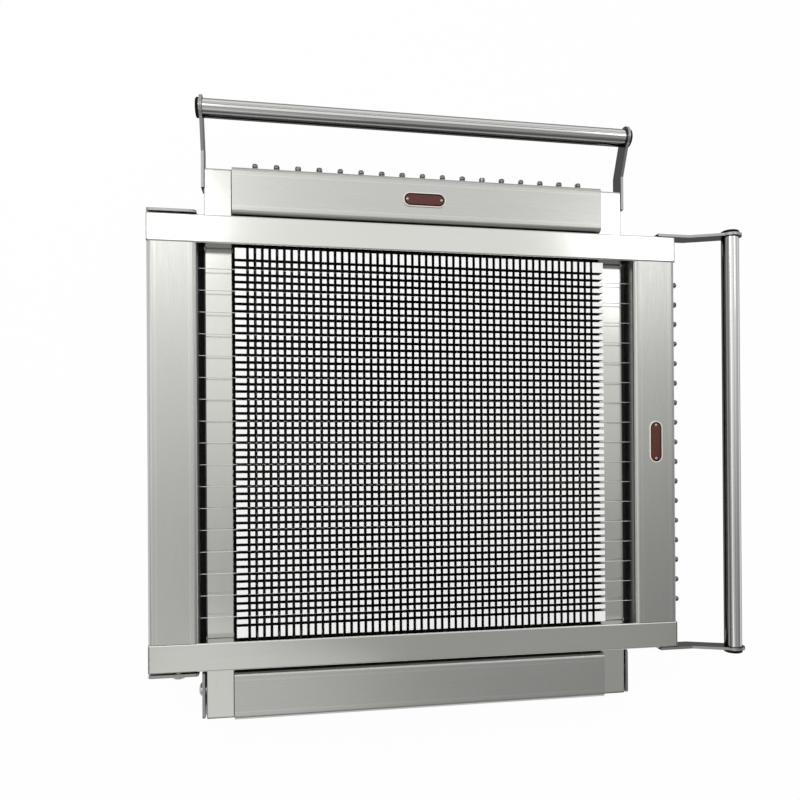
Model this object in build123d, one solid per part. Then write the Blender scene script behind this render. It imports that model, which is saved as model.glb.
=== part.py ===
from build123d import *
import math
import os

# Chocolate guitar cutter: a slotted square bed on a low pan, with two strung frames (arms) that hinge
# on two neighbouring sides and close over the bed at right angles to each other.
# Millimetres. +X is right and +Y is up in the plan view, +Z is up. Sizes are worked out with the bed's
# centre at X = Y = 0 and its top face at Z = 0, and every solid is moved to the origin at the end.

# Cutting grid
wire_pitch = 22.5
wire_diameter = 0.6
wire_sides = 6

# Bed: a plastic block with a slot under every wire
bed_size = 403.0
bed_thickness = 32.0
bed_margin = 13.0
slot_width = 2.3
slot_depth = 22.0
upper_wire_depth = 9.0
lower_wire_depth = 18.2

# Arms: two side rails beside the bed, with a hinge rail and a handle rail between their ends, beyond
# the other arm's side rails
bed_gap = 2.0
cross_gap = 5.0
side_rail_width = 29.0
side_rail_height = 18.0
side_rail_edge = 1.0
cross_rail_width = 50.0
cross_rail_height = 28.0
cross_rail_edge = 5.0
rail_wall = 2.0
upper_arm_top = 2.0
arm_gap = 1.5
lower_cross_rise = 10.0
wire_hole = 1.4

# Wire fixings
ferrule_length = 6.0
ferrule_width = 3.0
peg_sides = 6
peg_across_flats = 5.0
peg_length = 9.0

# Handles: a tube held in two flat bars on the outer walls of the side rails
upper_handle_reach = 64.0
lower_handle_reach = 59.0
handle_rise = 17.0
tube_diameter = 19.0
tube_wall = 1.5
tube_overhang = 0.8
bar_height = 20.0
bar_thickness = 3.0
bar_lap = 20.0
bar_straight = 20.0
eye_rim = 3.0
plug_head = 3.6
plug_rim = 0.5
plug_insert = 14.0
plug_ribs = 6
fit_gap = 0.1

# Enamel plates on the handle rails
plate_length = 45.5
plate_width = 14.0
plate_thickness = 1.2
rivet_diameter = 3.0
rivet_sides = 8
rivet_height = 0.6
rivet_inset = 4.0

# Hinges: a long bolt in both ears, screwed into the far one, with a six-sided bush in each side rail
hinge_inset = 29.0
hinge_bolt_diameter = 10.0
hinge_head_diameter = 14.0
hinge_head_height = 4.0
bush_wall = 1.7
bush_sides = 6
running_gap = 0.05
ear_gap = 1.5
ear_thickness = 3.0
ear_reach = 20.0
web_reach = 10.0
ear_rise = 9.0
ear_corner = 8.0

# Pan, hinge brackets and feet: the pan reaches under both arms, so its plan is a cross
pan_inset = 7.5
pan_depth = 24.0
pan_sheet = 2.0
swing_clearance = 1.5
riser_width = 24.0
riser_length = 380.0
bed_bolt_spacing = 300.0
bed_bolt_flats = 6.0
bed_bolt_sides = 8
bed_bolt_head = 10.0
bed_bolt_head_height = 4.0
bed_bolt_grip = 7.0
foot_flats = 30.0
foot_sides = 16
foot_height = 32.0
foot_inset = 34.0

# Stops
stop_gap = 0.3
stop_size = 11.0
stop_pad = 4.0
stop_setback = 4.0
open_angle = 100.0

# Worked-out places
wires_each_side = int((bed_size / 2 - bed_margin) / wire_pitch)
wire_count = 2 * wires_each_side + 1
half_span = wires_each_side * wire_pitch
wire_places = [(k - wires_each_side) * wire_pitch for k in range(wire_count)]
window_half_width = bed_size / 2 + bed_gap
half_width = window_half_width + side_rail_width
window_half_length = half_width + cross_gap
half_length = window_half_length + cross_rail_width
hinge_x = -half_length + hinge_inset
upper_side_top = upper_arm_top
upper_cross_top = upper_arm_top
lower_side_top = upper_side_top - side_rail_height - arm_gap
lower_cross_top = lower_side_top + lower_cross_rise
upper_axis_z = upper_side_top - side_rail_height / 2
lower_axis_z = lower_side_top - side_rail_height / 2
ear_inner = half_width + ear_gap
ear_outer = ear_inner + ear_thickness
lower_swing = math.hypot(hinge_inset, lower_cross_top - lower_axis_z)
web_top = lower_axis_z - lower_swing - swing_clearance
pan_top = web_top - ear_thickness
bed_bottom = -bed_thickness
floor_z = pan_top - pan_sheet - foot_height
bolt_radius = hinge_bolt_diameter / 2
bush_flats = hinge_bolt_diameter + 2 * (running_gap + bush_wall)
bolt_spacing = (bed_bolt_spacing / 2, -bed_bolt_spacing / 2)
bolt_places = [(x, y) for x in bolt_spacing for y in bolt_spacing]
tube_radius = tube_diameter / 2
eye_radius = tube_radius + eye_rim

# Overall box, which gives the origin: the middle of the plan at the feet's underside
far_x = half_length + upper_handle_reach + eye_radius
far_y = half_length + lower_handle_reach + eye_radius
middle_x = (far_x - half_length) / 2
middle_y = (far_y - half_length) / 2
to_origin = Location((-middle_x, -middle_y, -floor_z))

# The upper arm is drawn with its hinge at -X; the lower one is the same, turned a quarter turn.
upper_place = Location((0, 0, 0))
lower_place = Location((0, 0, 0), (0, 0, 90))


def block(x0, x1, y0, y1, z0, z1):
    """A box between two corners."""
    return Pos((x0 + x1) / 2, (y0 + y1) / 2, (z0 + z1) / 2) * Box(x1 - x0, y1 - y0, z1 - z0)


def rod(radius, start, end):
    """A round bar between two points."""
    start, end = Vector(*start), Vector(*end)
    plane = Plane(origin=start, z_dir=end - start)
    return plane * Cylinder(radius, (end - start).length, align=(Align.CENTER, Align.CENTER, Align.MIN))


def prism(sides, across_flats, start, end):
    """A bar with a regular flat-sided section between two points, on X, Y or Z."""
    start, end = Vector(*start), Vector(*end)
    along = end - start
    side_way = (0, 1, 0) if abs(along.X) > 0 else (1, 0, 0)
    plane = Plane(origin=start, x_dir=side_way, z_dir=along)
    return extrude(plane * RegularPolygon(across_flats / 2, sides, major_radius=False), along.length)


def save(name, place, solids):
    """Write one node: its solids in the order given, moved to the origin."""
    moved = [to_origin * (place * solid) for solid in solids]
    parts = [part for item in moved for part in item.solids()]
    os.makedirs("parts", exist_ok=True)
    export_step(parts[0] if len(parts) == 1 else Compound(children=parts), f"parts/{name}.step")


def rounded_tube(x0, x1, y_half, z_top, height, corner, wall):
    """A rectangular tube along Y with rounded outer edges, open at its ends."""
    width = x1 - x0
    at = Plane(origin=((x0 + x1) / 2, -y_half, z_top - height / 2), x_dir=(1, 0, 0), z_dir=(0, 1, 0))
    outer = at * RectangleRounded(width, height, corner)
    inner = at * Rectangle(width - 2 * wall, height - 2 * wall)
    return extrude(outer - inner, 2 * y_half)


def wire_hole_row(x0, x1, z):
    """Square holes through a rail's wall, one for each wire."""
    half = wire_hole / 2
    return [block(x0, x1, y - half, y + half, z - half, z + half) for y in wire_places]


def side_rail(side, top, axis_z):
    """A closed rectangular tube along X, with the bush's seat across it. side is +1 or -1."""
    inner, outer = side * window_half_width, side * half_width
    low, high = min(inner, outer), max(inner, outer)
    rail = block(-half_length, half_length, low, high, top - side_rail_height, top)
    rail = chamfer(rail.edges().filter_by(Axis.X), side_rail_edge)
    hollow = block(
        -half_length + rail_wall, half_length - rail_wall, low + rail_wall, high - rail_wall,
        top - side_rail_height + rail_wall, top - rail_wall,
    )
    seat = prism(bush_sides, bush_flats, (hinge_x, low, axis_z), (hinge_x, high, axis_z))
    return rail - hollow - seat


def handle_bar(side, rail_top, reach):
    """A flat bar on the side rail's outer wall, cranked up to an eye round the handle tube."""
    bar_z = rail_top - bar_height / 2
    end_x = half_length + reach
    tube_z = bar_z + handle_rise
    line = Polyline((half_length - bar_lap, bar_z), (half_length + bar_straight, bar_z), (end_x, tube_z))
    outline = trace(line, bar_height) + Pos(end_x, tube_z) * Circle(eye_radius)
    outline -= Pos(end_x, tube_z) * Circle(tube_radius + fit_gap)
    face_y = half_width if side > 0 else -half_width - bar_thickness
    at = Plane(origin=(0, face_y, 0), x_dir=(1, 0, 0), z_dir=(0, -1, 0))
    return extrude(at * outline, -bar_thickness)


def tube_plug(side, x, z, tube_half):
    """A round plug with a rim and a ribbed stem, pushed into the handle tube's end."""
    y = side * tube_half
    head = rod(tube_radius + plug_rim, (x, y, z), (x, y + side * plug_head, z))
    stem_flats = 2 * (tube_radius - tube_wall - fit_gap) * math.cos(math.pi / plug_ribs)
    return head + prism(plug_ribs, stem_flats, (x, y - side * plug_insert, z), (x, y, z))


def arm(name, place, side_top, cross_top, wire_z, reach):
    """One strung frame, with its hinge at -X and its handle at +X."""
    axis_z = side_top - side_rail_height / 2
    save(f"{name}_side_rail_left", place, [side_rail(+1, side_top, axis_z)])
    save(f"{name}_side_rail_right", place, [side_rail(-1, side_top, axis_z)])

    tube_size = (cross_top, cross_rail_height, cross_rail_edge, rail_wall)
    hinge_rail = rounded_tube(-half_length, -window_half_length, window_half_width, *tube_size)
    hinge_rail -= wire_hole_row(-window_half_length - rail_wall, -window_half_length, wire_z)
    save(f"{name}_hinge_rail", place, [hinge_rail])
    handle_rail = rounded_tube(window_half_length, half_length, window_half_width, *tube_size)
    handle_rail -= wire_hole_row(window_half_length, window_half_length + rail_wall, wire_z)
    handle_rail -= wire_hole_row(half_length - rail_wall, half_length, wire_z)
    save(f"{name}_handle_rail", place, [handle_rail])

    start = -window_half_length - rail_wall
    wires = [
        prism(wire_sides, wire_diameter, (start, y, wire_z), (half_length, y, wire_z)) for y in wire_places
    ]
    save(f"{name}_cutting_wires", place, wires)
    half = ferrule_width / 2
    ferrules = [
        block(start - ferrule_length, start, y - half, y + half, wire_z - half, wire_z + half)
        for y in wire_places
    ]
    save(f"{name}_wire_ferrules", place, ferrules)
    peg_end = half_length + peg_length
    pegs = [
        prism(peg_sides, peg_across_flats, (half_length, y, wire_z), (peg_end, y, wire_z)) for y in wire_places
    ]
    save(f"{name}_tension_pegs", place, pegs)

    bushes = []
    for low in (window_half_width, -half_width):
        ends = (hinge_x, low, axis_z), (hinge_x, low + side_rail_width, axis_z)
        bushes.append(prism(bush_sides, bush_flats, *ends) - rod(bolt_radius + running_gap, *ends))
    save(f"{name}_hinge_bushes", place, bushes)

    save(f"{name}_handle_bar_left", place, [handle_bar(+1, side_top, reach)])
    save(f"{name}_handle_bar_right", place, [handle_bar(-1, side_top, reach)])
    tube_x, tube_z = half_length + reach, side_top - bar_height / 2 + handle_rise
    tube_half = half_width + bar_thickness + tube_overhang
    ends = (tube_x, -tube_half, tube_z), (tube_x, tube_half, tube_z)
    save(f"{name}_handle_tube", place, [rod(tube_radius, *ends) - rod(tube_radius - tube_wall, *ends)])
    plugs = [tube_plug(side, tube_x, tube_z, tube_half) for side in (1, -1)]
    save(f"{name}_tube_plugs", place, plugs)

    plate_x = half_length - cross_rail_width / 2
    outline = SlotOverall(plate_length, plate_width, rotation=90)
    save(f"{name}_enamel_plate", place, [Pos(plate_x, 0, cross_top) * extrude(outline, plate_thickness)])
    rivet_y = plate_length / 2 - rivet_inset
    rivet_z = cross_top + plate_thickness
    rivets = [
        prism(rivet_sides, rivet_diameter, (plate_x, y, rivet_z), (plate_x, y, rivet_z + rivet_height))
        for y in (rivet_y, -rivet_y)
    ]
    save(f"{name}_plate_rivets", place, rivets)


def hinge_bracket(axis_z):
    """Folded sheet: a web on the pan, under the hinge rail, and an ear at each end."""
    web = block(-half_length, hinge_x + web_reach, -ear_outer, ear_outer, pan_top, web_top)
    ear_top = axis_z + ear_rise
    ear = block(-half_length, hinge_x + ear_reach, ear_inner, ear_outer, pan_top, ear_top)
    ear = chamfer(ear.edges().filter_by(Axis.Y).group_by(Axis.Z)[-1], ear_corner)
    bracket = web + ear + mirror(ear, Plane.XZ)
    hole = rod(bolt_radius + fit_gap, (hinge_x, -ear_outer, axis_z), (hinge_x, ear_outer, axis_z))
    return bracket - hole


def hinge(name, place, axis_z, head_side):
    """The fixed half of one hinge, on the base. head_side is the end with the bolt's head, +1 or -1."""
    save(f"{name}_hinge_bracket", place, [hinge_bracket(axis_z)])

    def on_axis(y):
        return (hinge_x, head_side * y, axis_z)

    bolt = rod(bolt_radius, on_axis(-ear_outer), on_axis(ear_outer))
    bolt += rod(hinge_head_diameter / 2, on_axis(ear_outer), on_axis(ear_outer + hinge_head_height))
    save(f"{name}_hinge_bolt", place, [bolt])

    # A rubber block on the web stops the side rail's rear corner at the arm's open limit.
    turn = math.radians(open_angle)
    corner = side_rail_height / 2
    corner_x = -hinge_inset * math.cos(turn) - corner * math.sin(turn)
    corner_z = -hinge_inset * math.sin(turn) + corner * math.cos(turn)
    stop_top = axis_z + corner_z - stop_gap
    stop_x = hinge_x + corner_x - stop_setback
    stop_y = half_width - side_rail_width / 2
    half = stop_size / 2
    stops = [
        block(stop_x - half, stop_x + half, y - half, y + half, web_top, stop_top)
        for y in (stop_y, -stop_y)
    ]
    save(f"{name}_open_stops", place, stops)


def slotted_bed():
    """The bed block, with one slot each way under every wire, open at the edges."""
    half = bed_size / 2
    bed = block(-half, half, -half, half, bed_bottom, 0)
    cuts = []
    for at in wire_places:
        low, high = at - slot_width / 2, at + slot_width / 2
        cuts.append(block(-half, half, low, high, -slot_depth, 0))
        cuts.append(block(low, high, -half, half, -slot_depth, 0))
    bed -= cuts
    for x, y in bolt_places:
        bed -= bolt_hole(x, y, bed_bottom, bed_bottom + bed_bolt_grip)
    return bed


def bolt_hole(x, y, low, high):
    """A clearance hole for a bed bolt."""
    return prism(bed_bolt_sides, bed_bolt_flats + 2 * fit_gap, (x, y, low), (x, y, high))


def pan_solid(inset, low, high):
    """The pan's cross-shaped plan as a solid, drawn in by inset all round."""
    near, far, half = inset - half_length, half_length - pan_inset - inset, ear_outer - inset
    return block(near, far, -half, half, low, high) + block(-half, half, near, far, low, high)


def base():
    """Pan, feet, bed with its risers and bolts, and the stops that the closed arms lie on."""
    here = Location((0, 0, 0))
    pan = pan_solid(0, pan_top - pan_depth, pan_top)
    pan -= pan_solid(pan_sheet, pan_top - pan_depth, pan_top - pan_sheet)
    for x, y in bolt_places:
        pan -= bolt_hole(x, y, pan_top - pan_sheet, pan_top)
    save("base_pan", here, [pan])

    save("bed_block", here, [slotted_bed()])
    risers = []
    half_riser = riser_length / 2
    for y in bolt_spacing:
        sides = (-half_riser, half_riser, y - riser_width / 2, y + riser_width / 2)
        riser = block(*sides, pan_top, bed_bottom)
        for x in bolt_spacing:
            riser -= bolt_hole(x, y, pan_top, bed_bottom)
        risers.append(riser)
    save("bed_risers", here, risers)
    head_z = pan_top - pan_sheet
    bolts = []
    for x, y in bolt_places:
        head = prism(6, bed_bolt_head, (x, y, head_z - bed_bolt_head_height), (x, y, head_z))
        shank = prism(bed_bolt_sides, bed_bolt_flats, (x, y, head_z), (x, y, bed_bottom + bed_bolt_grip))
        bolts.append(head + shank)
    save("bed_bolts", here, bolts)

    place = ear_outer - foot_inset
    feet = [
        prism(foot_sides, foot_flats, (x, y, floor_z), (x, y, floor_z + foot_height))
        for x in (place, -place)
        for y in (place, -place)
    ]
    save("rubber_feet", here, feet)

    # The upper arm's side rails come down between the last wire and the lower arm's side rail.
    upper_low = upper_side_top - side_rail_height - stop_gap
    post_x = (half_span + window_half_width) / 2
    post_y = half_width - side_rail_width / 2
    reach = stop_size / 2
    posts = []
    pads = []
    for y in (post_y, -post_y):
        sides = (post_x - reach, post_x + reach, y - reach, y + reach)
        posts.append(block(*sides, pan_top, upper_low - stop_pad))
        pads.append(block(*sides, upper_low - stop_pad, upper_low))
    save("upper_arm_stop_posts", here, posts)
    save("upper_arm_stop_pads", here, pads)

    lower_low = lower_side_top - side_rail_height - stop_gap
    rest_y = bed_bolt_spacing / 2 + riser_width
    rests = [
        block(x - reach, x + reach, rest_y - reach, rest_y + reach, pan_top, lower_low)
        for x in (post_y, -post_y)
    ]
    save("lower_arm_rests", here, rests)


base()
hinge("upper", upper_place, upper_axis_z, -1)
hinge("lower", lower_place, lower_axis_z, +1)
arm("upper", upper_place, upper_side_top, upper_cross_top, -upper_wire_depth, upper_handle_reach)
arm("lower", lower_place, lower_side_top, lower_cross_top, -lower_wire_depth, lower_handle_reach)
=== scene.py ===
# %% [markdown]
# A guitar cutter for confectionery, seen from above: a white slotted bed, and two strung steel
# frames that hinge on two neighbouring sides and close over it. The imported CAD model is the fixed
# frame. Everything here is in metres, in that frame, and each new piece rides on the CAD body
# that carries it.

# %% Load the CAD frame
import bpy
import bmesh
import math
from mathutils import Matrix, Vector


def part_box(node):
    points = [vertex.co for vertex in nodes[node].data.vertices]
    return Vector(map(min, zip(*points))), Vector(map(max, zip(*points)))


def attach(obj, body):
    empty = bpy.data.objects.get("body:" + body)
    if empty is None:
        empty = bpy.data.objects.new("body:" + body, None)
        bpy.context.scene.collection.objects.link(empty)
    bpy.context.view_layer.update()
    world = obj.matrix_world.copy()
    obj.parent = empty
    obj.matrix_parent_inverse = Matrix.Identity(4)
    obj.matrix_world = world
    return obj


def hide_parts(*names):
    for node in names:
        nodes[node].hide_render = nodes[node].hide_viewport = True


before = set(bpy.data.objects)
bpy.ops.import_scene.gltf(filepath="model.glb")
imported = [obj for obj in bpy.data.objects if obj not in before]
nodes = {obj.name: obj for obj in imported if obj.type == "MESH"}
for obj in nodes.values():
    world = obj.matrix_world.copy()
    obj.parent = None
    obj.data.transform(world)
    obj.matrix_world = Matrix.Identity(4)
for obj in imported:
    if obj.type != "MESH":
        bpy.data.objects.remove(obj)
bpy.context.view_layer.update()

MM = 0.001
print("CAD nodes:", len(nodes))

# %% [markdown]
# The photograph looks almost straight down, from a little left of the bed's middle. The camera's
# place was worked out from the bed's slots, so it is given from the middle of the bed's top. The
# picture's frame was cut off centre, and the camera's small shift makes up for that.

# %% The camera
bed_low, bed_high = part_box("bed_block")
bed_top = Vector(((bed_low.x + bed_high.x) / 2, (bed_low.y + bed_high.y) / 2, bed_high.z))
CAMERA_OFFSET = Vector((-151.7, -19.1, 746.9)) * MM
CAMERA_RIGHT = Vector((0.98648, -0.00648, 0.16375))
CAMERA_DOWN = Vector((-0.00587, -0.99997, -0.00419))
FOCAL_PX = 711.0
CENTRE_PX = (402.0, 458.0)
PICTURE_PX = 800.0
SENSOR_MM = 36.0

camera = bpy.data.objects.new("camera", bpy.data.cameras.new("camera"))
bpy.context.collection.objects.link(camera)
camera.data.sensor_width = SENSOR_MM
camera.data.lens = FOCAL_PX / PICTURE_PX * SENSOR_MM
camera.data.shift_x = (PICTURE_PX / 2 - CENTRE_PX[0]) / PICTURE_PX
camera.data.shift_y = (CENTRE_PX[1] - PICTURE_PX / 2) / PICTURE_PX
camera.data.clip_start = 0.01
right = CAMERA_RIGHT.normalized()
up = (-CAMERA_DOWN - right * right.dot(-CAMERA_DOWN)).normalized()
back = right.cross(up)
turn = Matrix((right, up, back)).transposed().to_4x4()
camera.matrix_world = Matrix.Translation(bed_top + CAMERA_OFFSET) @ turn
bpy.context.scene.camera = camera
print("camera lens:", round(camera.data.lens, 2), "mm")

# %% [markdown]
# A node material is easiest to read as a list of nodes and a list of wires, so small helpers make
# them. Numbers that are the same all over a surface are set on the shader's own sockets.

# %% Nodes and links
def new_material(name, colour, metallic=0.0, roughness=0.5, **sockets):
    """A material with its main shader. Socket names use _ for a space."""
    material = bpy.data.materials.new(name)
    material.use_nodes = True
    shader = material.node_tree.nodes["Principled BSDF"]
    shader.inputs["Base Color"].default_value = (*colour, 1)
    shader.inputs["Metallic"].default_value = metallic
    shader.inputs["Roughness"].default_value = roughness
    for socket, value in sockets.items():
        shader.inputs[socket.replace("_", " ")].default_value = value
    return material


def shader_of(material):
    return material.node_tree.nodes["Principled BSDF"]


def add(material, kind, values=None, **settings):
    """Add a node, set its properties and its unlinked inputs."""
    node = material.node_tree.nodes.new(kind)
    for key, value in settings.items():
        setattr(node, key, value)
    for key, value in (values or {}).items():
        node.inputs[key].default_value = value
    return node


def link(material, *wires):
    """Link outputs to inputs, each given as (node, output, node, input)."""
    for source, output, target, socket in wires:
        material.node_tree.links.new(source.outputs[output], target.inputs[socket])


# %% [markdown]
# Noise gives a surface its grain, its clouds and its scratches. It is read in the piece's own
# metres, so the grain is as fine on a large piece as on a small one, and it turns with the arm. A
# texture is only a factor, so other helpers make a roughness, a mixed colour or a raised surface
# of it.

# %% Textures, colours and relief
def noise(material, stretch, detail=3.0):
    """Noise in the piece's own metres, scaled by its own amount along each axis."""
    place = add(material, "ShaderNodeTexCoord")
    scale = add(material, "ShaderNodeMapping", {"Scale": stretch})
    texture = add(
        material, "ShaderNodeTexNoise", {"Scale": 1.0, "Detail": detail, "Roughness": 0.6}
    )
    link(material, (place, "Object", scale, "Vector"), (scale, "Vector", texture, "Vector"))
    return texture


def spread(material, source, output, low, high, from_low=0.3, from_high=0.7):
    """Map a texture's range onto a pair of numbers."""
    node = add(
        material, "ShaderNodeMapRange",
        {"From Min": from_low, "From Max": from_high, "To Min": low, "To Max": high},
    )
    link(material, (source, output, node, "Value"))
    return node


def tint(material, factor, first, second):
    """Mix two colours by a factor node, into the shader's colour."""
    node = add(material, "ShaderNodeMix", data_type="RGBA")
    node.inputs["A"].default_value = (*first, 1)
    node.inputs["B"].default_value = (*second, 1)
    link(
        material, (factor, 0, node, "Factor"),
        (node, "Result", shader_of(material), "Base Color"),
    )
    return node


def shade(material, colour, darkness):
    """Darken a mixed colour by a factor node, where 1 leaves it as it is."""
    node = add(material, "ShaderNodeMix", {"Factor": 1.0}, data_type="RGBA", blend_type="MULTIPLY")
    link(
        material, (colour, "Result", node, "A"), (darkness, "Result", node, "B"),
        (node, "Result", shader_of(material), "Base Color"),
    )
    return node


def bump(material, source, depth, strength):
    """Raise the surface by a texture, depth in metres."""
    node = add(material, "ShaderNodeBump", {"Strength": strength, "Distance": depth})
    link(
        material, (source, "Fac", node, "Height"), (node, "Normal", shader_of(material), "Normal")
    )


# %% [markdown]
# The frames are brushed stainless steel. Their walls are given a darker colour than the faces that
# point up, a painted shade that stands in for the dark surroundings that upright steel reflects. A
# face's normal, read on the piece itself, tells which it is, so the painted shade turns with the
# arm. A round tube is given a lighter colour again below, a painted reflection of the pale floor. A
# line across or along a piece, such as an end weld that was ground flat, a lighter line beside an
# edge and a painted band of reflection on a tube, is told by its distance from the piece's middle,
# as a share of the piece's length.

# %% Painted light and shade on steel, and lines on it
ALONG_X, ALONG_Y = 0, 1
UNDER_FADE = 0.25
LINE_CORE = 0.4
WELD_GRAIN = 260.0


def facing_up(material, start, end, under=None):
    """A factor from 0 to 1 as a face turns up, by the height of its normal; it sets where a wall
    takes its painted shade. Given under, it rises again on the underside, where a tube is painted
    bright with the floor's reflection."""
    place = add(material, "ShaderNodeTexCoord")
    axes = add(material, "ShaderNodeSeparateXYZ")
    link(material, (place, "Normal", axes, "Vector"))
    upward = spread(material, axes, "Z", 0.0, 1.0, start, end)
    if under is None:
        return upward
    downward = spread(material, axes, "Z", 1.0, 0.0, -under - UNDER_FADE, -under)
    either = add(material, "ShaderNodeMath", operation="MAXIMUM")
    link(material, (upward, 0, either, 0), (downward, 0, either, 1))
    return either


def line_pair(material, axis, from_middle, width, factor, waver=0.0):
    """A factor that differs from 1 on two lines across an axis. Their place from the middle and
    their width are shares of the piece's length. Waver makes them as uneven as a ground weld."""
    place = add(material, "ShaderNodeTexCoord")
    axes = add(material, "ShaderNodeSeparateXYZ")
    centred = add(material, "ShaderNodeMath", {1: 0.5}, operation="SUBTRACT")
    out = add(material, "ShaderNodeMath", operation="ABSOLUTE")
    from_line = add(material, "ShaderNodeMath", {1: from_middle}, operation="SUBTRACT")
    off = add(material, "ShaderNodeMath", operation="ABSOLUTE")
    link(
        material, (place, "Generated", axes, "Vector"), (axes, axis, centred, 0),
        (centred, 0, out, 0), (out, 0, from_line, 0), (from_line, 0, off, 0),
    )
    if waver:
        uneven = add(material, "ShaderNodeMath", operation="MULTIPLY")
        amount = spread(material, noise(material, (WELD_GRAIN,) * 3), "Fac", 1 - waver, 1 + waver)
        link(material, (off, 0, uneven, 0), (amount, 0, uneven, 1))
        off = uneven
    return spread(material, off, 0, factor, 1.0, LINE_CORE * width, width)


# %% [markdown]
# Brushing leaves scratches along a rail. An image of scratches would show its repeats, so they are
# noise drawn out a hundred times along one axis, which varies the roughness and lifts the surface
# by a micron. Broader noise leaves faint clouds. A specular tint below white keeps a wall dark
# where it is seen at a slant, and it is the same all over, so it sits on the shader's own socket.
# The walls' darker colour itself is painted shade.

# %% Brushed steel
SCRATCHES_ACROSS, SCRATCHES_ALONG = 4000.0, 30.0
CLOUDS_ACROSS, CLOUDS_ALONG = 45.0, 7.0
SCRATCH_ROUGHNESS, SCRATCH_HEIGHT, SCRATCH_STRENGTH = 0.04, 1.5e-6, 0.2
CLOUD_SHADE = 0.965
# Painted shade: the darker colour of upright walls, standing in for the dark surroundings they
# reflect.
SHADED_WALL_STEEL = (0.34, 0.342, 0.33)


def brushed_steel(
    name, along, top, wall=SHADED_WALL_STEEL, roughness=0.3, turns=(0.20, 0.45), lines=(), edge_on=1.0
):
    """Steel brushed along one axis. Its upward faces take top, and its walls take wall, a darker
    colour that is painted shade. Edge_on below 1 keeps a wall dark where it is seen at a slant."""
    material = new_material(
        name, top, metallic=1.0, roughness=roughness, Specular_Tint=(edge_on, edge_on, edge_on, 1)
    )
    fine, broad = [SCRATCHES_ACROSS] * 3, [CLOUDS_ACROSS] * 3
    fine[along], broad[along] = SCRATCHES_ALONG, CLOUDS_ALONG
    scratches = noise(material, fine, detail=2.0)
    clouds = noise(material, broad, detail=4.0)
    least, most = roughness - SCRATCH_ROUGHNESS, roughness + SCRATCH_ROUGHNESS
    rough = spread(material, scratches, "Fac", least, most)
    link(material, (rough, "Result", shader_of(material), "Roughness"))
    colour = tint(material, facing_up(material, *turns), wall, top)
    colour = shade(material, colour, spread(material, clouds, "Fac", CLOUD_SHADE, 1.0))
    for line in lines:
        colour = shade(material, colour, line_pair(material, *line))
    bump(material, scratches, SCRATCH_HEIGHT, SCRATCH_STRENGTH)
    return material


# %% [markdown]
# Every kind of piece was finished in its own way. The side rails are the smoothest and show the
# ground weld of their end caps. The cross rails are satin, with a faint lighter line beside each
# edge. The flat bars of the handles and the sides of the handle tubes are given a dark colour, a
# painted shade, and the tubes have painted bands of reflection along them. Each steel is made once
# for pieces along X and once for pieces along Y, because brushing follows the piece. A line is
# given by its place, its width and how much it darkens or lightens.

# %% The steels of this machine
SIDE_STEEL = (0.72, 0.722, 0.68)
CROSS_STEEL = (0.60, 0.603, 0.574)
BAR_STEEL = (0.42, 0.425, 0.415)
TUBE_STEEL = (0.72, 0.722, 0.70)
# Painted shade on the bars' walls and the tubes' sides, darker than their tops.
SHADED_BAR_WALL = (0.10, 0.10, 0.098)
SHADED_TUBE_SIDE = (0.14, 0.14, 0.137)
rail_low, rail_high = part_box("upper_side_rail_left")
RAIL_LENGTH = (rail_high.x - rail_low.x) / MM
SEAM_INSET, SEAM_WIDTH, SEAM_SHADE, SEAM_WAVER = 1.0, 1.0, 0.45, 0.4
END_WELD = (0.5 - SEAM_INSET / RAIL_LENGTH, SEAM_WIDTH / RAIL_LENGTH, SEAM_SHADE, SEAM_WAVER)
# A faint lighter line beside each edge of a cross rail.
LIGHTER_LINE = (0.33, 0.018, 1.10)
# Painted reflections: dark bands along each tube, where a room's lights and gaps would show in it.
TUBE_REFLECTION_BANDS = {
    ALONG_X: ((0.12, 0.03, 0.6), (0.31, 0.045, 0.55)),
    ALONG_Y: ((0.12, 0.03, 0.75), (0.36, 0.06, 0.6)),
}
side_steel, cross_steel, bar_steel, tube_steel = {}, {}, {}, {}
for along, way in ((ALONG_X, "x"), (ALONG_Y, "y")):
    side_steel[along] = brushed_steel(
        f"side_rail_steel_{way}", along, SIDE_STEEL, roughness=0.17, turns=(0.05, 0.25),
        lines=[(along, *END_WELD)],
    )
    cross_steel[along] = brushed_steel(
        f"cross_rail_steel_{way}", along, CROSS_STEEL, lines=[(1 - along, *LIGHTER_LINE)],
        edge_on=0.5,
    )
    bar_steel[along] = brushed_steel(
        f"bar_steel_{way}", along, BAR_STEEL, SHADED_BAR_WALL, 0.35, (0.40, 0.62), edge_on=0.45
    )
    # The third of a tube's turns lightens its underside: a painted reflection of the pale floor.
    tube_steel[along] = brushed_steel(
        f"tube_steel_{way}", along, TUBE_STEEL, SHADED_TUBE_SIDE, 0.13, (0.45, 0.85, 0.25),
        lines=[(1 - along, *line) for line in TUBE_REFLECTION_BANDS[along]], edge_on=0.35,
    )
# The folded steel's walls take a darker colour too: painted shade.
FOLDED_STEEL, SHADED_FOLDED_WALL = (0.40, 0.403, 0.39), (0.30, 0.302, 0.293)
folded_steel = brushed_steel("folded_steel", ALONG_Y, FOLDED_STEEL, SHADED_FOLDED_WALL, 0.35)
print("Brushed steels:", [m.name for m in bpy.data.materials if "steel" in m.name])

# %% [markdown]
# The small parts are turned or drawn steel, brass, moulded rubber and plastic, aluminium and black
# powder coat. On the pan the black coat is its own colour and also painted shade, so that the gaps
# between the frames look black. Each gets fine noise in its colour, roughness or surface at its own
# scale.

# %% The other finishes
GRAIN_ROUGHNESS, GRAIN_STRENGTH = 0.15, 0.5


def tones(colour, darker, lighter):
    """A darker and a lighter tone of a colour."""
    return [c * darker for c in colour], [min(1.0, c * lighter) for c in colour]


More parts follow.
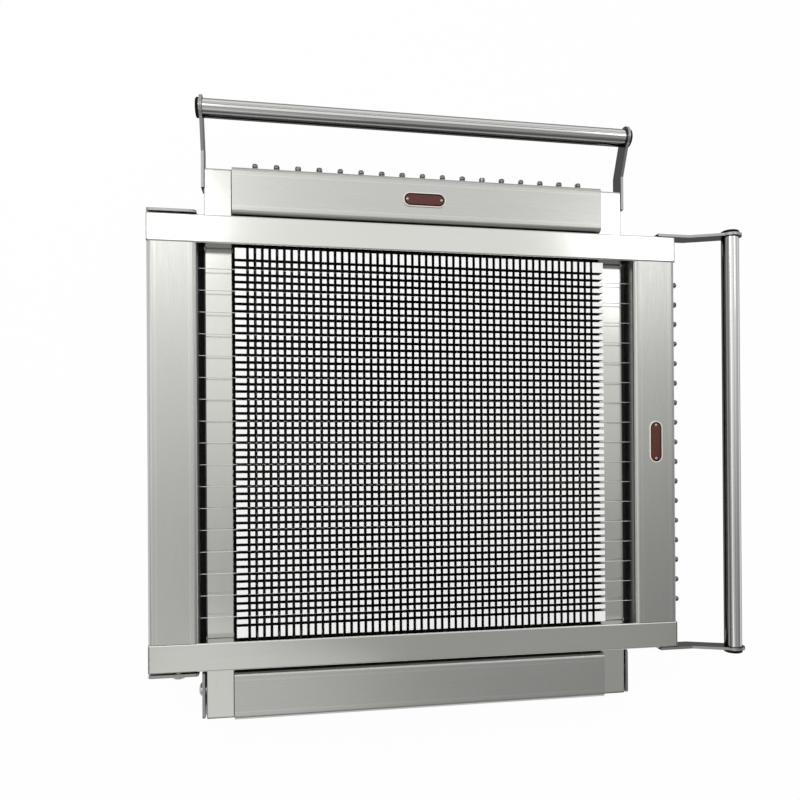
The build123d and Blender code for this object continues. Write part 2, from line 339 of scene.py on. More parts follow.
def grained(name, colour, metallic, roughness, grain, depth, darker=0.85, lighter=1.1, **sockets):
    """A finish with fine even grain, grain in spots per metre and depth in metres."""
    material = new_material(name, colour, metallic, roughness, **sockets)
    spots = noise(material, (grain,) * 3)
    least, most = roughness * (1 - GRAIN_ROUGHNESS), roughness * (1 + GRAIN_ROUGHNESS)
    rough = spread(material, spots, "Fac", least, most)
    link(material, (rough, "Result", shader_of(material), "Roughness"))
    tint(material, spread(material, spots, "Fac", 0.0, 1.0), *tones(colour, darker, lighter))
    bump(material, spots, depth, GRAIN_STRENGTH)
    print(name, "has spots of", round(1000 / grain, 2), "mm")
    return material


turned_steel = grained("turned_steel", (0.55, 0.555, 0.54), 1.0, 0.24, 1500, 4e-6)
drawn_wire = grained("drawn_wire", (0.93, 0.93, 0.91), 1.0, 0.4, 3000, 2e-6, 0.95, 1.03)
brass = grained("ferrule_brass", (0.71, 0.55, 0.27), 1.0, 0.3, 1500, 4e-6)
aluminium = grained("sawn_aluminium", (0.62, 0.63, 0.64), 1.0, 0.45, 700, 2e-5)
nylon = grained("bush_nylon", (0.75, 0.74, 0.68), 0.0, 0.45, 800, 1e-5, 0.95, 1.03)
rubber = grained("moulded_rubber", (0.03, 0.03, 0.032), 0.0, 0.7, 900, 3e-5, 0.8, 1.2)
black_plastic = grained(
    "black_plastic", (0.008, 0.008, 0.008), 0.0, 0.5, 1200, 1e-5, 0.8, 1.2, Specular_IOR_Level=0.02
)
peg_steel = grained(
    "peg_steel", (0.24, 0.24, 0.235), 1.0, 0.25, 1500, 4e-6, Specular_Tint=(0.4, 0.4, 0.4, 1)
)
# The pan's black coat is partly its own colour and partly painted shade for the gaps between the
# frames.
pan_coat_and_shade = grained("black_coat_and_gap_shade", (0.012, 0.012, 0.013), 0.0, 0.6, 1300, 3e-5, 0.8, 1.2)

# %% [markdown]
# Many CAD nodes have the right shape already, and only need a finish. An arm's rails run one way
# and its cross rails and tube the other, so each takes the steel that was brushed along it. The
# nodes that get a new piece below aren't dressed here.

# %% Finishes of the CAD nodes
def paint(material, *names):
    """Give CAD nodes their finish."""
    for name in names:
        mesh = nodes[name].data
        mesh.materials.clear()
        mesh.materials.append(material)
    print(material.name, "on", *names)


for arm, along, across in (("upper", ALONG_X, ALONG_Y), ("lower", ALONG_Y, ALONG_X)):
    paint(cross_steel[across], f"{arm}_hinge_rail", f"{arm}_handle_rail")
    paint(bar_steel[along], f"{arm}_handle_bar_left", f"{arm}_handle_bar_right")
    paint(tube_steel[across], f"{arm}_handle_tube")
    paint(brass, f"{arm}_wire_ferrules")
    paint(nylon, f"{arm}_hinge_bushes")
    paint(rubber, f"{arm}_open_stops")
# The pan's black also paints the shade seen down the gaps.
paint(pan_coat_and_shade, "base_pan")
paint(side_steel[ALONG_X], "upper_arm_stop_posts")
paint(aluminium, "bed_risers")
paint(turned_steel, "bed_bolts")
paint(rubber, "lower_arm_rests", "upper_arm_stop_pads")

# %% [markdown]
# The new pieces are all lofts: closed rings of points, joined ring to ring and capped at both
# ends. A turned part is a loft of circles, a plate a loft of its outline, and a coil a loft along
# a helix. One helper makes the mesh, and another links it to the body that carries it.

# %% A loft, and a piece of it
SAME_POINT = 1e-7


def loft(parts):
    """A mesh of lofted solids, each a list of closed rings with as many points."""
    verts, faces = [], []
    for rings in parts:
        base, count = len(verts), len(rings[0])
        for ring in rings:
            verts.extend(tuple(p) for p in ring)
        for row in range(len(rings) - 1):
            a, b = base + row * count, base + (row + 1) * count
            for k in range(count):
                n = (k + 1) % count
                faces.append((a + k, a + n, b + n, b + k))
        last = base + (len(rings) - 1) * count
        faces.append(tuple(base + k for k in reversed(range(count))))
        faces.append(tuple(last + k for k in range(count)))
    mesh = bpy.data.meshes.new("loft")
    mesh.from_pydata(verts, [], faces)
    return mesh


def new_piece(name, mesh, body, material, replaced=(), smooth_below=35):
    """Link a mesh as a piece that rides on a body, smooth where it turns by a small angle."""
    tidy = bmesh.new()
    tidy.from_mesh(mesh)
    bmesh.ops.remove_doubles(tidy, verts=tidy.verts, dist=SAME_POINT)
    bmesh.ops.recalc_face_normals(tidy, faces=tidy.faces)
    tidy.to_mesh(mesh)
    tidy.free()
    mesh.shade_smooth()
    mesh.set_sharp_from_angle(angle=math.radians(smooth_below))
    mesh.materials.append(material)
    mesh.name = name
    obj = bpy.data.objects.new(name, mesh)
    bpy.context.collection.objects.link(obj)
    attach(obj, body)
    if replaced:
        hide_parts(*replaced)
    print(name, "has", len(mesh.polygons), "faces")
    return obj


# %% [markdown]
# The side rails are square steel tubes with rounded edges, which catch a thin bright line. A loft
# of rounded rectangles makes each, drawn in at both ends. A narrow strip beside each curve lies
# in the flat face, so that the smooth shading stops there and the flat face reflects like a flat
# one.

# %% Side rails
RAIL_RADIUS, RAIL_EASE, RAIL_ROUND, STRIP = 1.6, 0.7, 0.3, 0.06


def rounded_ring(low, high, axis, along, inset, steps=5):
    """A rounded rectangle across a box, at a place along it."""
    across = 1 - axis
    radius = RAIL_RADIUS * MM
    left, right = low[across] + radius, high[across] - radius
    bottom, top = low.z + radius, high.z - radius
    ring = []
    for quarter, (a, z) in enumerate(((right, top), (left, top), (left, bottom), (right, bottom))):
        turns = [math.pi / 2 * (quarter + k / steps) for k in range(steps + 1)]
        reach = radius - inset
        curve = [(a + reach * math.cos(t), z + reach * math.sin(t)) for t in turns]
        for point, turn, way in ((curve[0], turns[0], -1), (curve[-1], turns[-1], 1)):
            strip = way * STRIP * MM
            beside = (point[0] - strip * math.sin(turn), point[1] + strip * math.cos(turn))
            curve.insert(0 if way < 0 else len(curve), beside)
        for a_place, z_place in curve:
            place = Vector((0, 0, z_place))
            place[axis], place[across] = along, a_place
            ring.append(place)
    return ring


def rounded_rail(low, high, axis):
    """Rings of a rail along an axis."""
    ease, strip = RAIL_EASE * MM, STRIP * MM
    between = RAIL_ROUND * ease
    stations = (0, ease + strip), (0, ease), (between, between), (ease, 0), (ease + strip, 0)
    rings = [rounded_ring(low, high, axis, low[axis] + along, inset) for along, inset in stations]
    rings += [
        rounded_ring(low, high, axis, high[axis] - along, inset) for along, inset in stations[::-1]
    ]
    return rings


for arm, axis in (("upper", ALONG_X), ("lower", ALONG_Y)):
    pair = [f"{arm}_side_rail_left", f"{arm}_side_rail_right"]
    new_piece(
        f"{arm}_side_rails_rounded", loft([rounded_rail(*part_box(rail), axis) for rail in pair]),
        f"{arm}_arm", side_steel[axis], pair,
    )

# %% [markdown]
# The bed is a block of white plastic with a slot every 7.5 mm each way. The CAD block has a slot
# only under each wire, so this piece stands for it with the whole grid. Cutting the slots with
# booleans would be slow, so it is built up instead: one flat floor, and a post with eased top
# edges for each square that the slots leave.

# %% The slotted bed
SLOT_PITCH = 7.5 * MM
SLOT_COUNT = 51
SLOT_WIDTH = 2.9 * MM
SLOT_DEPTH = 22.0 * MM
POST_EDGE = 0.2 * MM
REBATE = 1.3 * MM


def post_spans(low, high, low_step, high_step):
    """The stretches that the slots leave between low and high, less a step at each edge."""
    middle = (low + high) / 2
    slots = [middle + (k - (SLOT_COUNT - 1) / 2) * SLOT_PITCH for k in range(SLOT_COUNT)]
    starts = [low + low_step] + [s + SLOT_WIDTH / 2 for s in slots]
    ends = [s - SLOT_WIDTH / 2 for s in slots] + [high - high_step]
    return list(zip(starts, ends))


def rectangle(x0, x1, y0, y1, z):
    return [(x0, y0, z), (x1, y0, z), (x1, y1, z), (x0, y1, z)]


def post(x, y, floor, top):
    """Rings of one post between two spans, from the slots' floor to its eased top."""
    e = POST_EDGE
    return [
        rectangle(*x, *y, floor),
        rectangle(*x, *y, top - e),
        rectangle(x[0] + e, x[1] - e, y[0] + e, y[1] - e, top),
    ]


slot_floor = bed_high.z - SLOT_DEPTH
sides = (bed_low.x, bed_high.x, bed_low.y, bed_high.y)
bed_parts = [[rectangle(*sides, bed_low.z), rectangle(*sides, slot_floor)]]
for x in post_spans(bed_low.x, bed_high.x, REBATE, 0.0):
    for y in post_spans(bed_low.y, bed_high.y, REBATE, REBATE):
        bed_parts.append(post(x, y, slot_floor, bed_high.z))
print("posts on the bed:", len(bed_parts) - 1)

# %% [markdown]
# The plastic is white with a fine moulded grain. Its slots are so narrow and deep that they look
# black, so the colour is painted dark with depth, just below the posts' tops: painted shade. The
# height is read in the piece's own space, so nothing depends on where the camera stands.

# %% The bed's plastic
WHITE_ABOVE, BLACK_BELOW = 0.2, 0.7
SLOT_SHADE_BLACK = (0.006, 0.006, 0.006)
BED_GRAIN, BED_GRAIN_HEIGHT, BED_GRAIN_STRENGTH = 900, 1e-5, 0.4
BED_WHITE = (0.87, 0.88, 0.865)
bed_plastic = new_material("bed_plastic", BED_WHITE, roughness=0.42)
bed_place = add(bed_plastic, "ShaderNodeTexCoord")
bed_axes = add(bed_plastic, "ShaderNodeSeparateXYZ")
link(bed_plastic, (bed_place, "Object", bed_axes, "Vector"))
black_level, white_level = bed_high.z - BLACK_BELOW * MM, bed_high.z - WHITE_ABOVE * MM
depth = spread(bed_plastic, bed_axes, "Z", 0.0, 1.0, black_level, white_level)
# Painted shade: the slots' walls go black with depth.
tint(bed_plastic, depth, SLOT_SHADE_BLACK, BED_WHITE)
bed_grain = noise(bed_plastic, (BED_GRAIN,) * 3)
bump(bed_plastic, bed_grain, BED_GRAIN_HEIGHT, BED_GRAIN_STRENGTH)
new_piece("bed", loft(bed_parts), "base", bed_plastic, ["bed_block"])

# %% [markdown]
# Wires, pegs, plugs, bolts, rivets and feet are drawn or turned, so each is round about a line of
# its own. Blender can spin a profile round an axis, but rings of points that are placed by code
# also let a round part end in a hexagon. So a turned part is a list of places along its line,
# each with a radius.

# %% Rings and turned parts
POINT_RADIUS = 0.02
UPRIGHT = 0.9


def square_to(direction):
    """Two directions square to a third and to each other."""
    axis = Vector(direction).normalized()
    side = axis.cross(Vector((0, 0, 1) if abs(axis.z) < UPRIGHT else (1, 0, 0))).normalized()
    return side, axis.cross(side)


def circle(centre, direction, radius, sides):
    """A ring of points round a centre, square to a direction."""
    u, v = square_to(direction)
    turns = [2 * math.pi * k / sides for k in range(sides)]
    return [Vector(centre) + (u * math.cos(t) + v * math.sin(t)) * radius for t in turns]


def turned(profile, start, direction, sides):
    """Rings of a turned part: profile is a list of (distance along, radius) in millimetres."""
    axis = Vector(direction).normalized()
    return [
        circle(Vector(start) + axis * along * MM, axis, max(radius, POINT_RADIUS) * MM, sides)
        for along, radius in profile
    ]


def even_places(low, high, count, axis):
    """Evenly spaced places along one axis of a box."""
    step = (high[axis] - low[axis]) / (count - 1)
    return [low[axis] + step * k for k in range(count)]


# %% [markdown]
# Each wire is wound on a tension peg outside the handle rail. A peg is a washer, a neck with two
# turns of wire, and a round head with a screwdriver slot. A slot cut into a lathe-turned head
# would need a boolean, so the head is two halves, each a loft of half circles, a slot's width
# apart. The turns of wire are a loft of small circles along a helix.

# %% Helpers for pegs
WIRE_RADIUS = 0.38
WASHER_AND_NECK = [(0, 2.85), (0.5, 2.85), (0.7, 2.6), (0.7, 1.4), (3.2, 1.4)]
HEAD = [(2.7, 2.2), (3.0, 2.75), (4.2, 3.0), (5.6, 2.85), (6.6, 2.3), (7.0, 1.4)]
HEAD_SLOT = 0.35
HEAD_STEPS = 10
COIL_START, COIL_RADIUS, COIL_RISE, COIL_TURNS, COIL_STEPS = 1.05, 1.75, 2.2, 2, 14
WIRE_SIDES = 8


def half_heads(start, direction, turned_by):
    """The two halves of a slotted head, its slot turned by an angle."""
    first, second = square_to(direction)
    u = first * math.cos(turned_by) + second * math.sin(turned_by)
    v = second * math.cos(turned_by) - first * math.sin(turned_by)
    axis = Vector(direction)
    halves = []
    for side in (1, -1):
        rings = []
        for along, radius in HEAD:
            centre = Vector(start) + axis * along * MM + v * side * HEAD_SLOT * MM
            turns = [math.pi * k / HEAD_STEPS for k in range(HEAD_STEPS + 1)]
            rings.append([
                centre + (u * math.cos(t) + v * side * math.sin(t)) * radius * MM for t in turns
            ])
        halves.append(rings)
    return halves


def coil(start, direction):
    """Turns of wire round the peg's neck."""
    u, v = square_to(direction)
    axis = Vector(direction)
    rings = []
    for step in range(COIL_TURNS * COIL_STEPS + 1):
        turn = 2 * math.pi * step / COIL_STEPS
        out = u * math.cos(turn) + v * math.sin(turn)
        along = COIL_START + COIL_RISE * WIRE_RADIUS * step / COIL_STEPS
        centre = Vector(start) + (axis * along + out * COIL_RADIUS) * MM
        forward = axis.cross(out)
        rings.append([
            centre + (out * math.cos(a) + forward.cross(out) * math.sin(a)) * WIRE_RADIUS * MM
            for a in [2 * math.pi * k / WIRE_SIDES for k in range(WIRE_SIDES)]
        ])
    return rings


# %% [markdown]
# Each frame is strung with seventeen thin wires, tight as a guitar's, from the hinge rail through
# the handle rail. The CAD wires are 0.6 mm thick, and these are drawn at 0.76 mm, so that they
# show from above. All of an arm's wires are one piece, and so are its pegs, because they have one
# finish and move together. The heads stop at different angles, as tuned pegs do.

# %% Wires and pegs
WIRES = 17
CAD_WIRE_RADIUS = 0.3
PEG_SIDES = 20
HEAD_TURN = 2.4

for arm, axis in (("upper", ALONG_X), ("lower", ALONG_Y)):
    direction = Vector((1, 0, 0)) if axis == ALONG_X else Vector((0, 1, 0))
    wire_low, wire_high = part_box(f"{arm}_cutting_wires")
    peg_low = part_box(f"{arm}_tension_pegs")[0]
    middle_z = (wire_low.z + wire_high.z) / 2
    across = 1 - axis
    inset = Vector((CAD_WIRE_RADIUS * MM,) * 3)
    wires, pegs, coils = [], [], []
    places = even_places(wire_low + inset, wire_high - inset, WIRES, across)
    for number, place in enumerate(places):
        start, end = Vector((0, 0, middle_z)), Vector((0, 0, middle_z))
        start[across] = end[across] = place
        start[axis], end[axis] = wire_low[axis], peg_low[axis] + COIL_START * MM
        wires.append([circle(p, direction, WIRE_RADIUS * MM, WIRE_SIDES) for p in (start, end)])
        foot = start.copy()
        foot[axis] = peg_low[axis]
        pegs.append(turned(WASHER_AND_NECK, foot, direction, PEG_SIDES))
        pegs.extend(half_heads(foot, direction, HEAD_TURN * number))
        coils.append(coil(foot, direction))
    body = f"{arm}_arm"
    new_piece(
        f"{arm}_wires_round", loft(wires), body, drawn_wire, [f"{arm}_cutting_wires"]
    )
    new_piece(
        f"{arm}_pegs_slotted", loft(pegs), body, peg_steel,
        [f"{arm}_tension_pegs"],
    )
    new_piece(f"{arm}_peg_coils", loft(coils), body, drawn_wire)

# %% [markdown]
# Each handle is a steel tube whose ends are closed by black plugs. A plug is a turned part: a
# stem in the tube, and a low head whose edge is straight first, then rounds over to an almost
# flat face. Its profile is a list of places along the tube and radii, which is easier to shape
# than a formula.

# %% Tube plugs
PLUG_STEM = 7.6
PLUG_INSERT = 12
PLUG_SIDES = 48
PLUG_HEAD = [(0, 10), (1.8, 10), (2.5, 9.7), (3.1, 8.7), (3.4, 7), (3.55, 4.5), (3.6, 2), (3.6, 0)]

for arm, axis in (("upper", ALONG_Y), ("lower", ALONG_X)):
    low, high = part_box(f"{arm}_handle_tube")
    centre = (low + high) / 2
    plugs = []
    for side, end in ((-1, low), (1, high)):
        start, direction = centre.copy(), Vector((0, 0, 0))
        start[axis], direction[axis] = end[axis], side
        profile = [(-PLUG_INSERT, PLUG_STEM), (0, PLUG_STEM)] + PLUG_HEAD
        plugs.append(turned(profile, start, direction, PLUG_SIDES))
    new_piece(
        f"{arm}_plugs_domed", loft(plugs), f"{arm}_arm", black_plastic,
        [f"{arm}_tube_plugs"], smooth_below=50,
    )

# %% [markdown]
# Each arm turns on one long bolt. Its head shows beside the frame, a button head with a hexagon
# socket, and at the far ear its chamfered end. The head is a dome, whose radius falls like a
# cosine, so its edge is steep and its middle almost flat. The dome's two inmost rings make way
# for the socket. The socket's ring is a hexagon sampled at the circle's own angles, so it lofts
# to the head.

# %% Hinge bolts
BOLT_RADIUS, BOLT_END, BOLT_SIDES = 5.0, 0.5, 48
HEAD_RADIUS, HEAD_HEIGHT, HEAD_EDGE, HEAD_DOME = 7.0, 4.0, 1.0, 3.0
SOCKET_FLATS, SOCKET_RIM, SOCKET_DEPTH = 4.2, 3.8, 2.2
DOME_STEPS = 6


def dome(start, radius, height):
    """A dome's profile from its rim to its middle."""
    turns = [math.pi / 2 * k / DOME_STEPS for k in range(DOME_STEPS + 1)]
    return [(start + height * math.sin(t), radius * math.cos(t)) for t in turns]


def hexagon(centre, direction, flats):
    """A hexagon with as many points as a bolt's circle."""
    u, v = square_to(direction)
    ring = []
    for k in range(BOLT_SIDES):
        turn = 2 * math.pi * k / BOLT_SIDES
        to_corner = (turn + math.pi / 6) % (math.pi / 3) - math.pi / 6
        reach = flats / 2 / math.cos(to_corner) * MM
        ring.append(Vector(centre) + (u * math.cos(turn) + v * math.sin(turn)) * reach)
    return ring


for arm, axis in (("upper", ALONG_Y), ("lower", ALONG_X)):
    low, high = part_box(f"{arm}_hinge_bolt")
    start, head = (low + high) / 2, (low + high) / 2
    start[axis], head[axis] = high[axis], low[axis] + HEAD_HEIGHT * MM
    direction = (head - start).normalized()
    length = (head - start).length / MM
    shank = [(-BOLT_END, BOLT_RADIUS - BOLT_END), (0, BOLT_RADIUS), (length, BOLT_RADIUS)]
    rings = turned(shank, start, direction, BOLT_SIDES)
    rim = [(0, HEAD_RADIUS), (HEAD_EDGE, HEAD_RADIUS)]
    button = rim + dome(HEAD_EDGE, HEAD_RADIUS, HEAD_DOME)[1:-2]
    rings += turned(button, head, direction, BOLT_SIDES)
    for along in (SOCKET_RIM, SOCKET_RIM - SOCKET_DEPTH):
        rings.append(hexagon(head + direction * along * MM, direction, SOCKET_FLATS))
    new_piece(
        f"{arm}_bolt_button", loft([rings]), "base", turned_steel,
        [f"{arm}_hinge_bolt"], smooth_below=50,
    )

# %% [markdown]
# Each hinge bracket is one folded sheet: a web on the pan, and an ear at each end that holds the
# bolt. The ears stand beside the frame, flush with its top, with rounded corners and eased edges.
# An ear is a loft of its outline across the sheet, drawn in a little at both faces, and the web a
# loft across.

# %% Hinge brackets
SHEET, WEB_SHORTER, EAR_CORNER, EAR_EDGE = 3.0, 10.0, 3.0, 0.3


def ear_outline(low, high, inset, steps=6):
    """An ear's outline as (along, height) pairs, with both upper corners rounded."""
    (a0, z0), (a1, z1) = low, high
    radius = EAR_CORNER * MM
    points = [(a0 + inset, z0), (a1 - inset, z0)]
    for centre, start in ((a1 - radius, 0.0), (a0 + radius, math.pi / 2)):
        for k in range(steps + 1):
            turn = start + math.pi / 2 * k / steps
            reach = radius - inset
            points.append((centre + reach * math.cos(turn), z1 - radius + reach * math.sin(turn)))
    return points


def bracket_mesh(low, high, axis):
    """The web and both ears, for an arm whose rails run along an axis."""
    def at(along, across, z):
        return (along, across, z) if axis == ALONG_X else (across, along, z)

    across = 1 - axis
    sheet, edge = SHEET * MM, EAR_EDGE * MM
    corners = (low[axis], low.z), (high[axis], high.z)
    parts = []
    for face in (low[across], high[across] - sheet):
        far = face + sheet
        levels = (face, edge), (face + edge, 0.0), (far - edge, 0.0), (far, edge)
        parts.append([
            [at(a, y, z) for a, z in ear_outline(*corners, inset)] for y, inset in levels
        ])
    web_end = high[axis] - WEB_SHORTER * MM
    section = (low[axis], 0.0), (web_end, 0.0), (web_end, sheet), (low[axis], sheet)
    ends = low[across] + sheet, high[across] - sheet
    parts.append([[at(a, y, low.z + z) for a, z in section] for y in ends])
    return loft(parts)


for arm, axis in (("upper", ALONG_X), ("lower", ALONG_Y)):
    new_piece(
        f"{arm}_bracket_folded", bracket_mesh(*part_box(f"{arm}_hinge_bracket"), axis), "base",
        folded_steel, [f"{arm}_hinge_bracket"],
    )

# %% [markdown]
# The plates are enamel: glass melted on steel, with a soft shine. A weak coat over a dull base
# gives the second, sharper reflection of glass. Too much of it would wash the dark colours out.

# %% Enamels
ENAMEL = (0.085, 0.021, 0.015)
enamel = grained(
    "enamel", ENAMEL, 0.0, 0.25, 500, 1e-5, 0.8, 1.25, Specular_IOR_Level=0.25, Coat_Weight=0.25,
    Coat_Roughness=0.08,
)
black_enamel = grained(
    "black_enamel", (0.006, 0.005, 0.005), 0.0, 0.3, 500, 1e-5, Specular_IOR_Level=0.15
)
cream = grained("cream_enamel", (0.74, 0.67, 0.61), 0.0, 0.35, 600, 1e-5, 0.95, 1.04)

# %% [markdown]
# An oval enamel plate is riveted to the middle of each handle rail. A cream rim runs round it,
# then a black line, then the dark red-brown field, and a round-headed rivet holds each end. Each
# colour is a piece of its own, so their borders are crisp edges and not a mask in one material.
# The field is left bare.

# %% Enamel plates
RIM_OUT, RIM_WIDTH, RIM_EDGE, RIM_STEP, BLACK_LINE = 0.8, 0.4, 0.3, 0.1, 1.3
LINE_SUNK, FIELD_SUNK, LAYER_FOOT = 0.15, 0.05, 0.6
LAYER_EDGE = [(0.0, -0.1), (0.2, 0.0), (0.8, 0.04)]
RIVET_RADIUS, RIVET_INSET, RIVET_SUNK, RIVET_EDGE, RIVET_DOME = 1.5, 1.6, 0.2, 0.2, 0.6
RIVET_SIDES = 24


def oval(low, high, inset, z, steps=12):
    """A stadium-shaped ring inside a box, drawn in by inset millimetres."""
    middle = (low + high) / 2
    half = (high - low) / 2
    along = 0 if half.x > half.y else 1
    radius = half[1 - along] - inset * MM
    straight = half[along] - half[1 - along]
    ring = []
    for end in (1, -1):
        for k in range(steps + 1):
            turn = -math.pi / 2 + math.pi * k / steps
            point = Vector((0, 0, z))
            point[along] = middle[along] + end * (straight + radius * math.cos(turn))
            point[1 - along] = middle[1 - along] + end * radius * math.sin(turn)
            ring.append(point)
    return ring


for arm in ("upper", "lower"):
    low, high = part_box(f"{arm}_enamel_plate")
    base, top = low.z, high.z
    rim = [
        oval(low, high, -RIM_OUT, base), oval(low, high, -RIM_OUT, top - RIM_EDGE * MM),
        oval(low, high, RIM_EDGE - RIM_OUT, top), oval(low, high, RIM_WIDTH, top),
        oval(low, high, RIM_WIDTH + RIM_STEP, top - (RIM_EDGE + RIM_STEP) * MM),
    ]
    new_piece(
        f"{arm}_plate_rim", loft([rim]), f"{arm}_arm", cream,
        [f"{arm}_enamel_plate"],
    )
    for part, inset, sunk, finish in (
        ("line", RIM_WIDTH, LINE_SUNK, black_enamel),
        ("field", RIM_WIDTH + BLACK_LINE, FIELD_SUNK, enamel),
    ):
        level = top - sunk * MM
        layer = [oval(low, high, inset, base + LAYER_FOOT * MM)]
        for inward, rise in LAYER_EDGE:
            layer.append(oval(low, high, inset + inward, level + rise * MM))
        new_piece(f"{arm}_plate_{part}", loft([layer]), f"{arm}_arm", finish)
    rivet_low, rivet_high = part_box(f"{arm}_plate_rivets")
    along = 1 if arm == "upper" else 0
    heads = []
    profile = [(0, RIVET_RADIUS)] + dome(RIVET_EDGE, RIVET_RADIUS, RIVET_DOME)
    for place in (rivet_low[along] + RIVET_INSET * MM, rivet_high[along] - RIVET_INSET * MM):
        start = (rivet_low + rivet_high) / 2
        start[along], start.z = place, rivet_low.z - RIVET_SUNK * MM
        heads.append(turned(profile, start, (0, 0, 1), RIVET_SIDES))
    new_piece(
        f"{arm}_rivets_domed", loft(heads), f"{arm}_arm", turned_steel,
        [f"{arm}_plate_rivets"], smooth_below=60,
    )

# %% [markdown]
# Four round rubber feet carry the machine, with a groove round each and a rounded lower edge.
# Like the plugs they are turned from a listed profile, from the floor up.

# %% Feet
FOOT_RADIUS = 15.0
FOOT_SIDES = 48
FOOT_EDGE = [(0, 12.5), (0.6, 14.0), (2.0, 15.0)]
FOOT_GROOVE = [(4.5, 15.0), (5.0, 14.2), (6.0, 14.2), (6.5, 15.0)]
foot_low, foot_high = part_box("rubber_feet")
reach = FOOT_RADIUS * MM
feet = []
for x in (foot_low.x + reach, foot_high.x - reach):
    for y in (foot_low.y + reach, foot_high.y - reach):
        height = (foot_high.z - foot_low.z) / MM
        profile = FOOT_EDGE + FOOT_GROOVE + [(height, FOOT_RADIUS)]
        feet.append(turned(profile, (x, y, foot_low.z), (0, 0, 1), FOOT_SIDES))
new_piece("feet_grooved", loft(feet), "base", rubber, ["rubber_feet"])

# %% [markdown]
# The floor is plain and pale. To the camera and in reflections it glows almost white, so that it
# looks white without more light on the machine, and to every other ray it is a matt surface. The
# small share of the matt surface that the camera keeps lets the machine's shadow show.

# %% Floor
FLOOR_HALF = 3.0
FLOOR_SHARE = 0.97
floor = bpy.data.objects.new("floor", bpy.data.meshes.new("floor"))
floor.data.from_pydata(
    rectangle(-FLOOR_HALF, FLOOR_HALF, -FLOOR_HALF, FLOOR_HALF, 0), [], [(0, 1, 2, 3)]
)
bpy.context.collection.objects.link(floor)
floor_white = new_material("floor_white", (0.8, 0.8, 0.8), roughness=1.0, Specular_IOR_Level=0.0)
floor.data.materials.append(floor_white)
glow = add(floor_white, "ShaderNodeEmission", {"Color": (1, 1, 1, 1), "Strength": 1.0})
mixed = add(floor_white, "ShaderNodeMixShader")
rays = add(floor_white, "ShaderNodeLightPath")
seen = add(floor_white, "ShaderNodeMath", operation="ADD", use_clamp=True)
seen_by_glass = add(floor_white, "ShaderNodeMath", operation="ADD", use_clamp=True)
share = add(floor_white, "ShaderNodeMath", {1: FLOOR_SHARE}, operation="MULTIPLY")
surface = floor_white.node_tree.nodes["Material Output"]
link(
    floor_white,
    (rays, "Is Camera Ray", seen, 0), (rays, "Is Glossy Ray", seen, 1),
    (seen, "Value", seen_by_glass, 0), (rays, "Is Transmission Ray", seen_by_glass, 1),
    (seen_by_glass, "Value", share, 0), (share, "Value", mixed, "Fac"),
    (shader_of(floor_white), "BSDF", mixed, 1), (glow, "Emission", mixed, 2),
    (mixed, "Shader", surface, "Surface"),
)
print("floor glows by", FLOOR_SHARE)

# %% [markdown]
# The room is the machine's surroundings as metal sees them. Near the horizon it is white, higher
# up it is dim towards the front and bright towards the back, and overhead it is brightest at the
# back left. So flat steel seen from above takes a smooth gradient from back to front, and upright
# faces go darker. A photograph of a room would do the same, but these few terms can be tuned one
# by one.

# %% Sky
world = bpy.data.worlds.new("room")
bpy.context.scene.world = world
world.use_nodes = True
sky = world.node_tree.nodes["Background"]
sky.inputs["Color"].default_value = (1, 1, 1, 1)
sky_place = add(world, "ShaderNodeTexCoord")
sky_axes = add(world, "ShaderNodeSeparateXYZ")
link(world, (sky_place, "Generated", sky_axes, "Vector"))


def sky_term(axis, start, end, at_start, at_end):
    """Light that changes smoothly along one direction of the sky."""
    node = spread(world, sky_axes, axis, at_start, at_end, start, end)
    node.interpolation_type = "SMOOTHSTEP"
    return node


HORIZON = 1.0
low_sky = add(world, "ShaderNodeMix", {"A": HORIZON}, data_type="FLOAT")
link(
    world, (sky_term("Z", 0.12, 0.42, 0.0, 1.0), 0, low_sky, "Factor"),
    (sky_term("Y", -0.5, 0.6, 0.18, 0.85), 0, low_sky, "B"),
)
high_sky = sky_term("Y", -0.16, 0.25, 0.38, 0.96)
for term in (
    sky_term("X", 0.15, -0.15, 0.0, 0.14), sky_term("X", -0.25, -0.50, 0.0, 0.5),
    sky_term("X", 0.46, 0.62, 0.0, -0.15),
):
    total = add(world, "ShaderNodeMath", operation="ADD")
    link(world, (high_sky, 0, total, 0), (term, 0, total, 1))
    high_sky = total
sky_level = add(world, "ShaderNodeMix", data_type="FLOAT")
link(
    world, (sky_term("Z", 0.50, 0.82, 0.0, 1.0), 0, sky_level, "Factor"),
    (low_sky, "Result", sky_level, "A"), (high_sky, 0, sky_level, "B"),
)
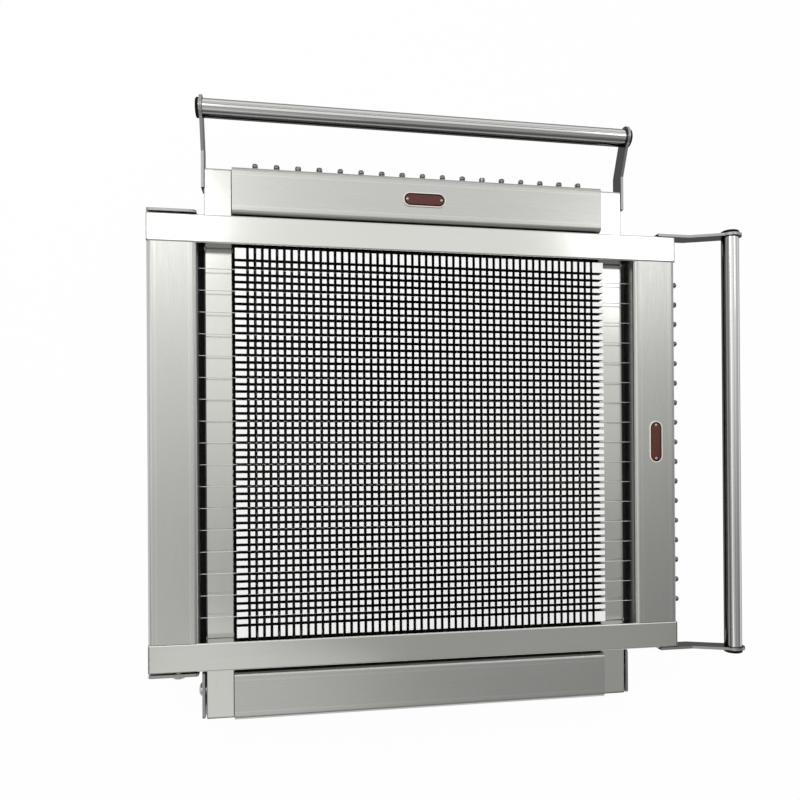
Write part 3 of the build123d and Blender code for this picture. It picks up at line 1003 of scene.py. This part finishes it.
print("sky made with", len(world.node_tree.nodes), "nodes")

# %% [markdown]
# A narrow dark gap between two rows of ceiling panels draws a line along tubes and rounded edges.
# It is a band round one height of the sky, in which the light drops to a quarter.

# %% The gap in the ceiling
PANEL_GAP, GAP_LIGHT, GAP_CORE, GAP_EDGE = 0.76, 0.25, 0.02, 0.045
from_gap = add(world, "ShaderNodeMath", {1: PANEL_GAP}, operation="SUBTRACT")
off_gap = add(world, "ShaderNodeMath", operation="ABSOLUTE")
dimmed = add(world, "ShaderNodeMath", operation="MULTIPLY")
link(world, (sky_axes, "Z", from_gap, 0), (from_gap, 0, off_gap, 0))
in_gap = spread(world, off_gap, 0, GAP_LIGHT, 1.0, GAP_CORE, GAP_EDGE)
link(
    world, (sky_level, "Result", dimmed, 0), (in_gap, 0, dimmed, 1),
    (dimmed, 0, sky, "Strength"),
)
print("the gap lies", round(math.degrees(math.asin(PANEL_GAP))), "degrees above the horizon")

# %% [markdown]
# Three weak softboxes give the steel its soft highlights. A fourth lamp fills in the bed's white
# and is hidden from reflections, because a lamp bright enough for plastic would burn out on
# metal.

# %% Lamps
def softbox(name, place, size, power, seen_by_metal=True):
    """A square area lamp that looks at the bed, in metres and watts."""
    data = bpy.data.lights.new(name, "AREA")
    data.size = size
    data.energy = power
    lamp = bpy.data.objects.new(name, data)
    bpy.context.collection.objects.link(lamp)
    lamp.location = place
    lamp.rotation_euler = (bed_top - Vector(place)).to_track_quat("-Z", "Y").to_euler()
    lamp.visible_glossy = seen_by_metal
    print(name, "gives", power, "W")


softbox("softbox_back_left", (-0.60, 0.72, 1.6), 0.35, 0.7)
softbox("softbox_back_right", (1.02, 0.68, 1.6), 0.40, 0.75)
softbox("softbox_front_left", (-0.33, -0.97, 1.6), 0.8, 0.6)
softbox("softbox_fill", (-0.45, 0.55, 1.3), 0.8, 8.5, seen_by_metal=False)

# %% [markdown]
# The Standard view shows a colour about as it is written.

# %% View settings
bpy.context.scene.view_settings.view_transform = "Standard"
